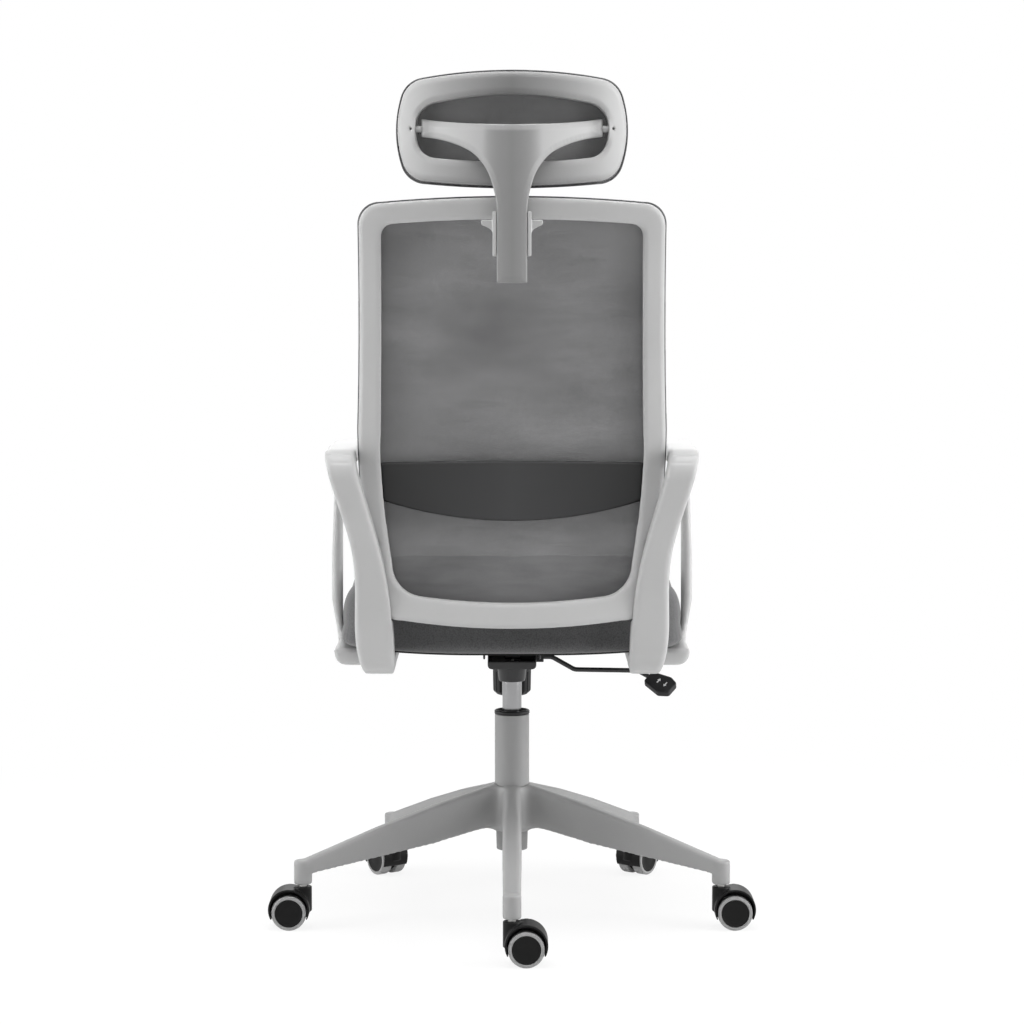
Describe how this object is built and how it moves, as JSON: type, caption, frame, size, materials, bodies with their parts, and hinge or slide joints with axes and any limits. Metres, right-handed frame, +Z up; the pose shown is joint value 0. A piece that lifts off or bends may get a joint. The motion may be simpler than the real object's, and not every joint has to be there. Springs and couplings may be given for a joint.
{
  "type": "office chair with headrest",
  "caption": "Mesh-back office chair with loop armrests and a tilting headrest, on a gas lift and a five-star caster base.",
  "frame": {"origin": "on the floor, on the swivel axis", "axes": "+Z up, +Y towards the sitter's front, +X to the sitter's right"},
  "size_m": [0.6952, 0.6418, 1.203],
  "materials": {
    "light_grey_nylon": "fine moulded grain",
    "light_grey_plastic": "fine moulded grain",
    "column_paint": "satin powder coat",
    "black_nylon": "moulded",
    "caster_black": "moulded",
    "zinc_steel": "zinc plated",
    "chrome": "polished",
    "black_steel": "semi-gloss black paint",
    "seat_pan": "moulded",
    "seat_fabric": "knitted mesh cloth",
    "mesh_fabric": "open woven mesh",
    "mesh_edge": "moulded",
    "lumbar_plastic": "moulded",
    "tyre": "soft polyurethane"
  },
  "bodies": {
    "base": {"star_base": "light_grey_nylon", "gas_column": "column_paint", "column_guide": "black_nylon", "thrust_bearing": "zinc_steel", "caster_stems": "zinc_steel"},
    "gas_rod": {"piston_rod": "zinc_steel"},
    "mechanism": {"gas_cylinder": "chrome", "mechanism_box": "black_steel", "tilt_pivot_pin": "zinc_steel", "pivot_washers": "zinc_steel", "tension_spring": "black_steel"},
    "release_button": {"release_pin": "zinc_steel"},
    "tension_bolt": {"tension_bolt": "zinc_steel"},
    "tension_knob": {"tension_knob": "black_nylon"},
    "lever_sleeve": {"lever_sleeve": "black_nylon"},
    "lever": {"lever_rod": "black_steel", "lever_paddle": "black_nylon"},
    "seat": {"tilt_plate": "black_steel", "seat_board": "seat_pan", "seat_cushion": "seat_fabric", "seat_bolts": "zinc_steel", "armrest_left": "light_grey_plastic", "armrest_right": "light_grey_plastic", "arm_bolts": "zinc_steel", "back_frame": "light_grey_plastic", "mesh_carrier": "mesh_edge", "back_mesh": "mesh_fabric", "headrest_holder": "light_grey_plastic", "holder_screws": "zinc_steel"},
    "lumbar": {"lumbar_band": "lumbar_plastic"},
    "headrest_stem": {"headrest_stem": "light_grey_plastic"},
    "headrest": {"headrest_frame": "light_grey_plastic", "headrest_mesh": "mesh_fabric", "headrest_pins": "light_grey_plastic"},
    "caster_1": {"caster_body_1": "caster_black"},
    "wheel_1_left": {"wheel_hub_1_left": "caster_black", "tyre_1_left": "tyre"},
    "wheel_1_right": {"wheel_hub_1_right": "caster_black", "tyre_1_right": "tyre"},
    "caster_2": {"caster_body_2": "caster_black"},
    "wheel_2_left": {"wheel_hub_2_left": "caster_black", "tyre_2_left": "tyre"},
    "wheel_2_right": {"wheel_hub_2_right": "caster_black", "tyre_2_right": "tyre"},
    "caster_3": {"caster_body_3": "caster_black"},
    "wheel_3_left": {"wheel_hub_3_left": "caster_black", "tyre_3_left": "tyre"},
    "wheel_3_right": {"wheel_hub_3_right": "caster_black", "tyre_3_right": "tyre"},
    "caster_4": {"caster_body_4": "caster_black"},
    "wheel_4_left": {"wheel_hub_4_left": "caster_black", "tyre_4_left": "tyre"},
    "wheel_4_right": {"wheel_hub_4_right": "caster_black", "tyre_4_right": "tyre"},
    "caster_5": {"caster_body_5": "caster_black"},
    "wheel_5_left": {"wheel_hub_5_left": "caster_black", "tyre_5_left": "tyre"},
    "wheel_5_right": {"wheel_hub_5_right": "caster_black", "tyre_5_right": "tyre"}
  },
  "joints": [
    {"name": "caster_1_swivel", "type": "hinge", "parent": "base", "child": "caster_1", "pos_m": [0, -0.314, 0.062], "axis": [0, 0, 1], "continuous": true},
    {"name": "wheel_1_left_spin", "type": "hinge", "parent": "caster_1", "child": "wheel_1_left", "pos_m": [0.0195, -0.314, 0.025], "axis": [0, 1, 0], "continuous": true},
    {"name": "wheel_1_right_spin", "type": "hinge", "parent": "caster_1", "child": "wheel_1_right", "pos_m": [0.0195, -0.314, 0.025], "axis": [0, 1, 0], "continuous": true},
    {"name": "caster_2_swivel", "type": "hinge", "parent": "base", "child": "caster_2", "pos_m": [0.29863, -0.09703, 0.062], "axis": [0, 0, 1], "continuous": true},
    {"name": "wheel_2_left_spin", "type": "hinge", "parent": "caster_2", "child": "wheel_2_left", "pos_m": [0.31813, -0.09703, 0.025], "axis": [0, 1, 0], "continuous": true},
    {"name": "wheel_2_right_spin", "type": "hinge", "parent": "caster_2", "child": "wheel_2_right", "pos_m": [0.31813, -0.09703, 0.025], "axis": [0, 1, 0], "continuous": true},
    {"name": "caster_3_swivel", "type": "hinge", "parent": "base", "child": "caster_3", "pos_m": [0.18457, 0.25403, 0.062], "axis": [0, 0, 1], "continuous": true},
    {"name": "wheel_3_left_spin", "type": "hinge", "parent": "caster_3", "child": "wheel_3_left", "pos_m": [0.19603, 0.26981, 0.025], "axis": [-0.809, 0.5878, 0], "continuous": true},
    {"name": "wheel_3_right_spin", "type": "hinge", "parent": "caster_3", "child": "wheel_3_right", "pos_m": [0.19603, 0.26981, 0.025], "axis": [-0.809, 0.5878, 0], "continuous": true},
    {"name": "caster_4_swivel", "type": "hinge", "parent": "base", "child": "caster_4", "pos_m": [-0.18457, 0.25403, 0.062], "axis": [0, 0, 1], "continuous": true},
    {"name": "wheel_4_left_spin", "type": "hinge", "parent": "caster_4", "child": "wheel_4_left", "pos_m": [-0.19603, 0.26981, 0.025], "axis": [-0.809, -0.5878, 0], "continuous": true},
    {"name": "wheel_4_right_spin", "type": "hinge", "parent": "caster_4", "child": "wheel_4_right", "pos_m": [-0.19603, 0.26981, 0.025], "axis": [-0.809, -0.5878, 0], "continuous": true},
    {"name": "caster_5_swivel", "type": "hinge", "parent": "base", "child": "caster_5", "pos_m": [-0.29863, -0.09703, 0.062], "axis": [0, 0, 1], "continuous": true},
    {"name": "wheel_5_left_spin", "type": "hinge", "parent": "caster_5", "child": "wheel_5_left", "pos_m": [-0.31813, -0.09703, 0.025], "axis": [0, -1, 0], "continuous": true},
    {"name": "wheel_5_right_spin", "type": "hinge", "parent": "caster_5", "child": "wheel_5_right", "pos_m": [-0.31813, -0.09703, 0.025], "axis": [0, -1, 0], "continuous": true},
    {"name": "seat_swivel", "type": "hinge", "parent": "base", "child": "gas_rod", "pos_m": [0, 0, 0.1], "axis": [0, 0, 1], "continuous": true},
    {"name": "seat_height", "type": "slide", "parent": "gas_rod", "child": "mechanism", "axis": [0, 0, 1], "range_m": [0, 0.1]},
    {"name": "seat_tilt", "type": "hinge", "parent": "mechanism", "child": "seat", "pos_m": [0, 0.04, 0.392], "axis": [1, 0, 0], "range_deg": [0, 10], "stiffness_Nm_per_rad": 150, "springref_deg": -17.19},
    {"name": "bolt_pull", "type": "slide", "parent": "mechanism", "child": "tension_bolt", "axis": [0, 0, 1], "range_m": [0, 0.0093], "deforming": ["tension_spring"]},
    {"name": "knob_turn", "type": "hinge", "parent": "tension_bolt", "child": "tension_knob", "pos_m": [0, 0.09, 0.329], "axis": [0, 0, 1], "range_deg": [-180, 180]},
    {"name": "lever_pull", "type": "slide", "parent": "mechanism", "child": "lever_sleeve", "axis": [1, 0, 0], "range_m": [0, 0.01]},
    {"name": "lever_lift", "type": "hinge", "parent": "lever_sleeve", "child": "lever", "pos_m": [0.038, 0, 0.3776], "axis": [0, -1, 0], "range_deg": [0, 3.5], "stiffness_Nm_per_rad": 2, "springref_deg": -14.32},
    {"name": "button_press", "type": "slide", "parent": "mechanism", "child": "release_button", "axis": [0, 0, -1], "range_m": [0, 0.0032]},
    {"name": "lumbar_height", "type": "slide", "parent": "seat", "child": "lumbar", "axis": [0, 0, 1], "range_m": [-0.025, 0.025]},
    {"name": "headrest_height", "type": "slide", "parent": "seat", "child": "headrest_stem", "axis": [0, 0, 1], "range_m": [0, 0.06]},
    {"name": "headrest_tilt", "type": "hinge", "parent": "headrest_stem", "child": "headrest", "pos_m": [0, -0.26012, 1.127], "axis": [1, 0, 0], "range_deg": [-6, 25]}
  ],
  "couplings": [
    {"joint": "bolt_pull", "follows": "seat_tilt", "m_per_rad": 0.0517},
    {"joint": "button_press", "follows": "lever_lift", "m_per_rad": 0.0476}
  ]
}
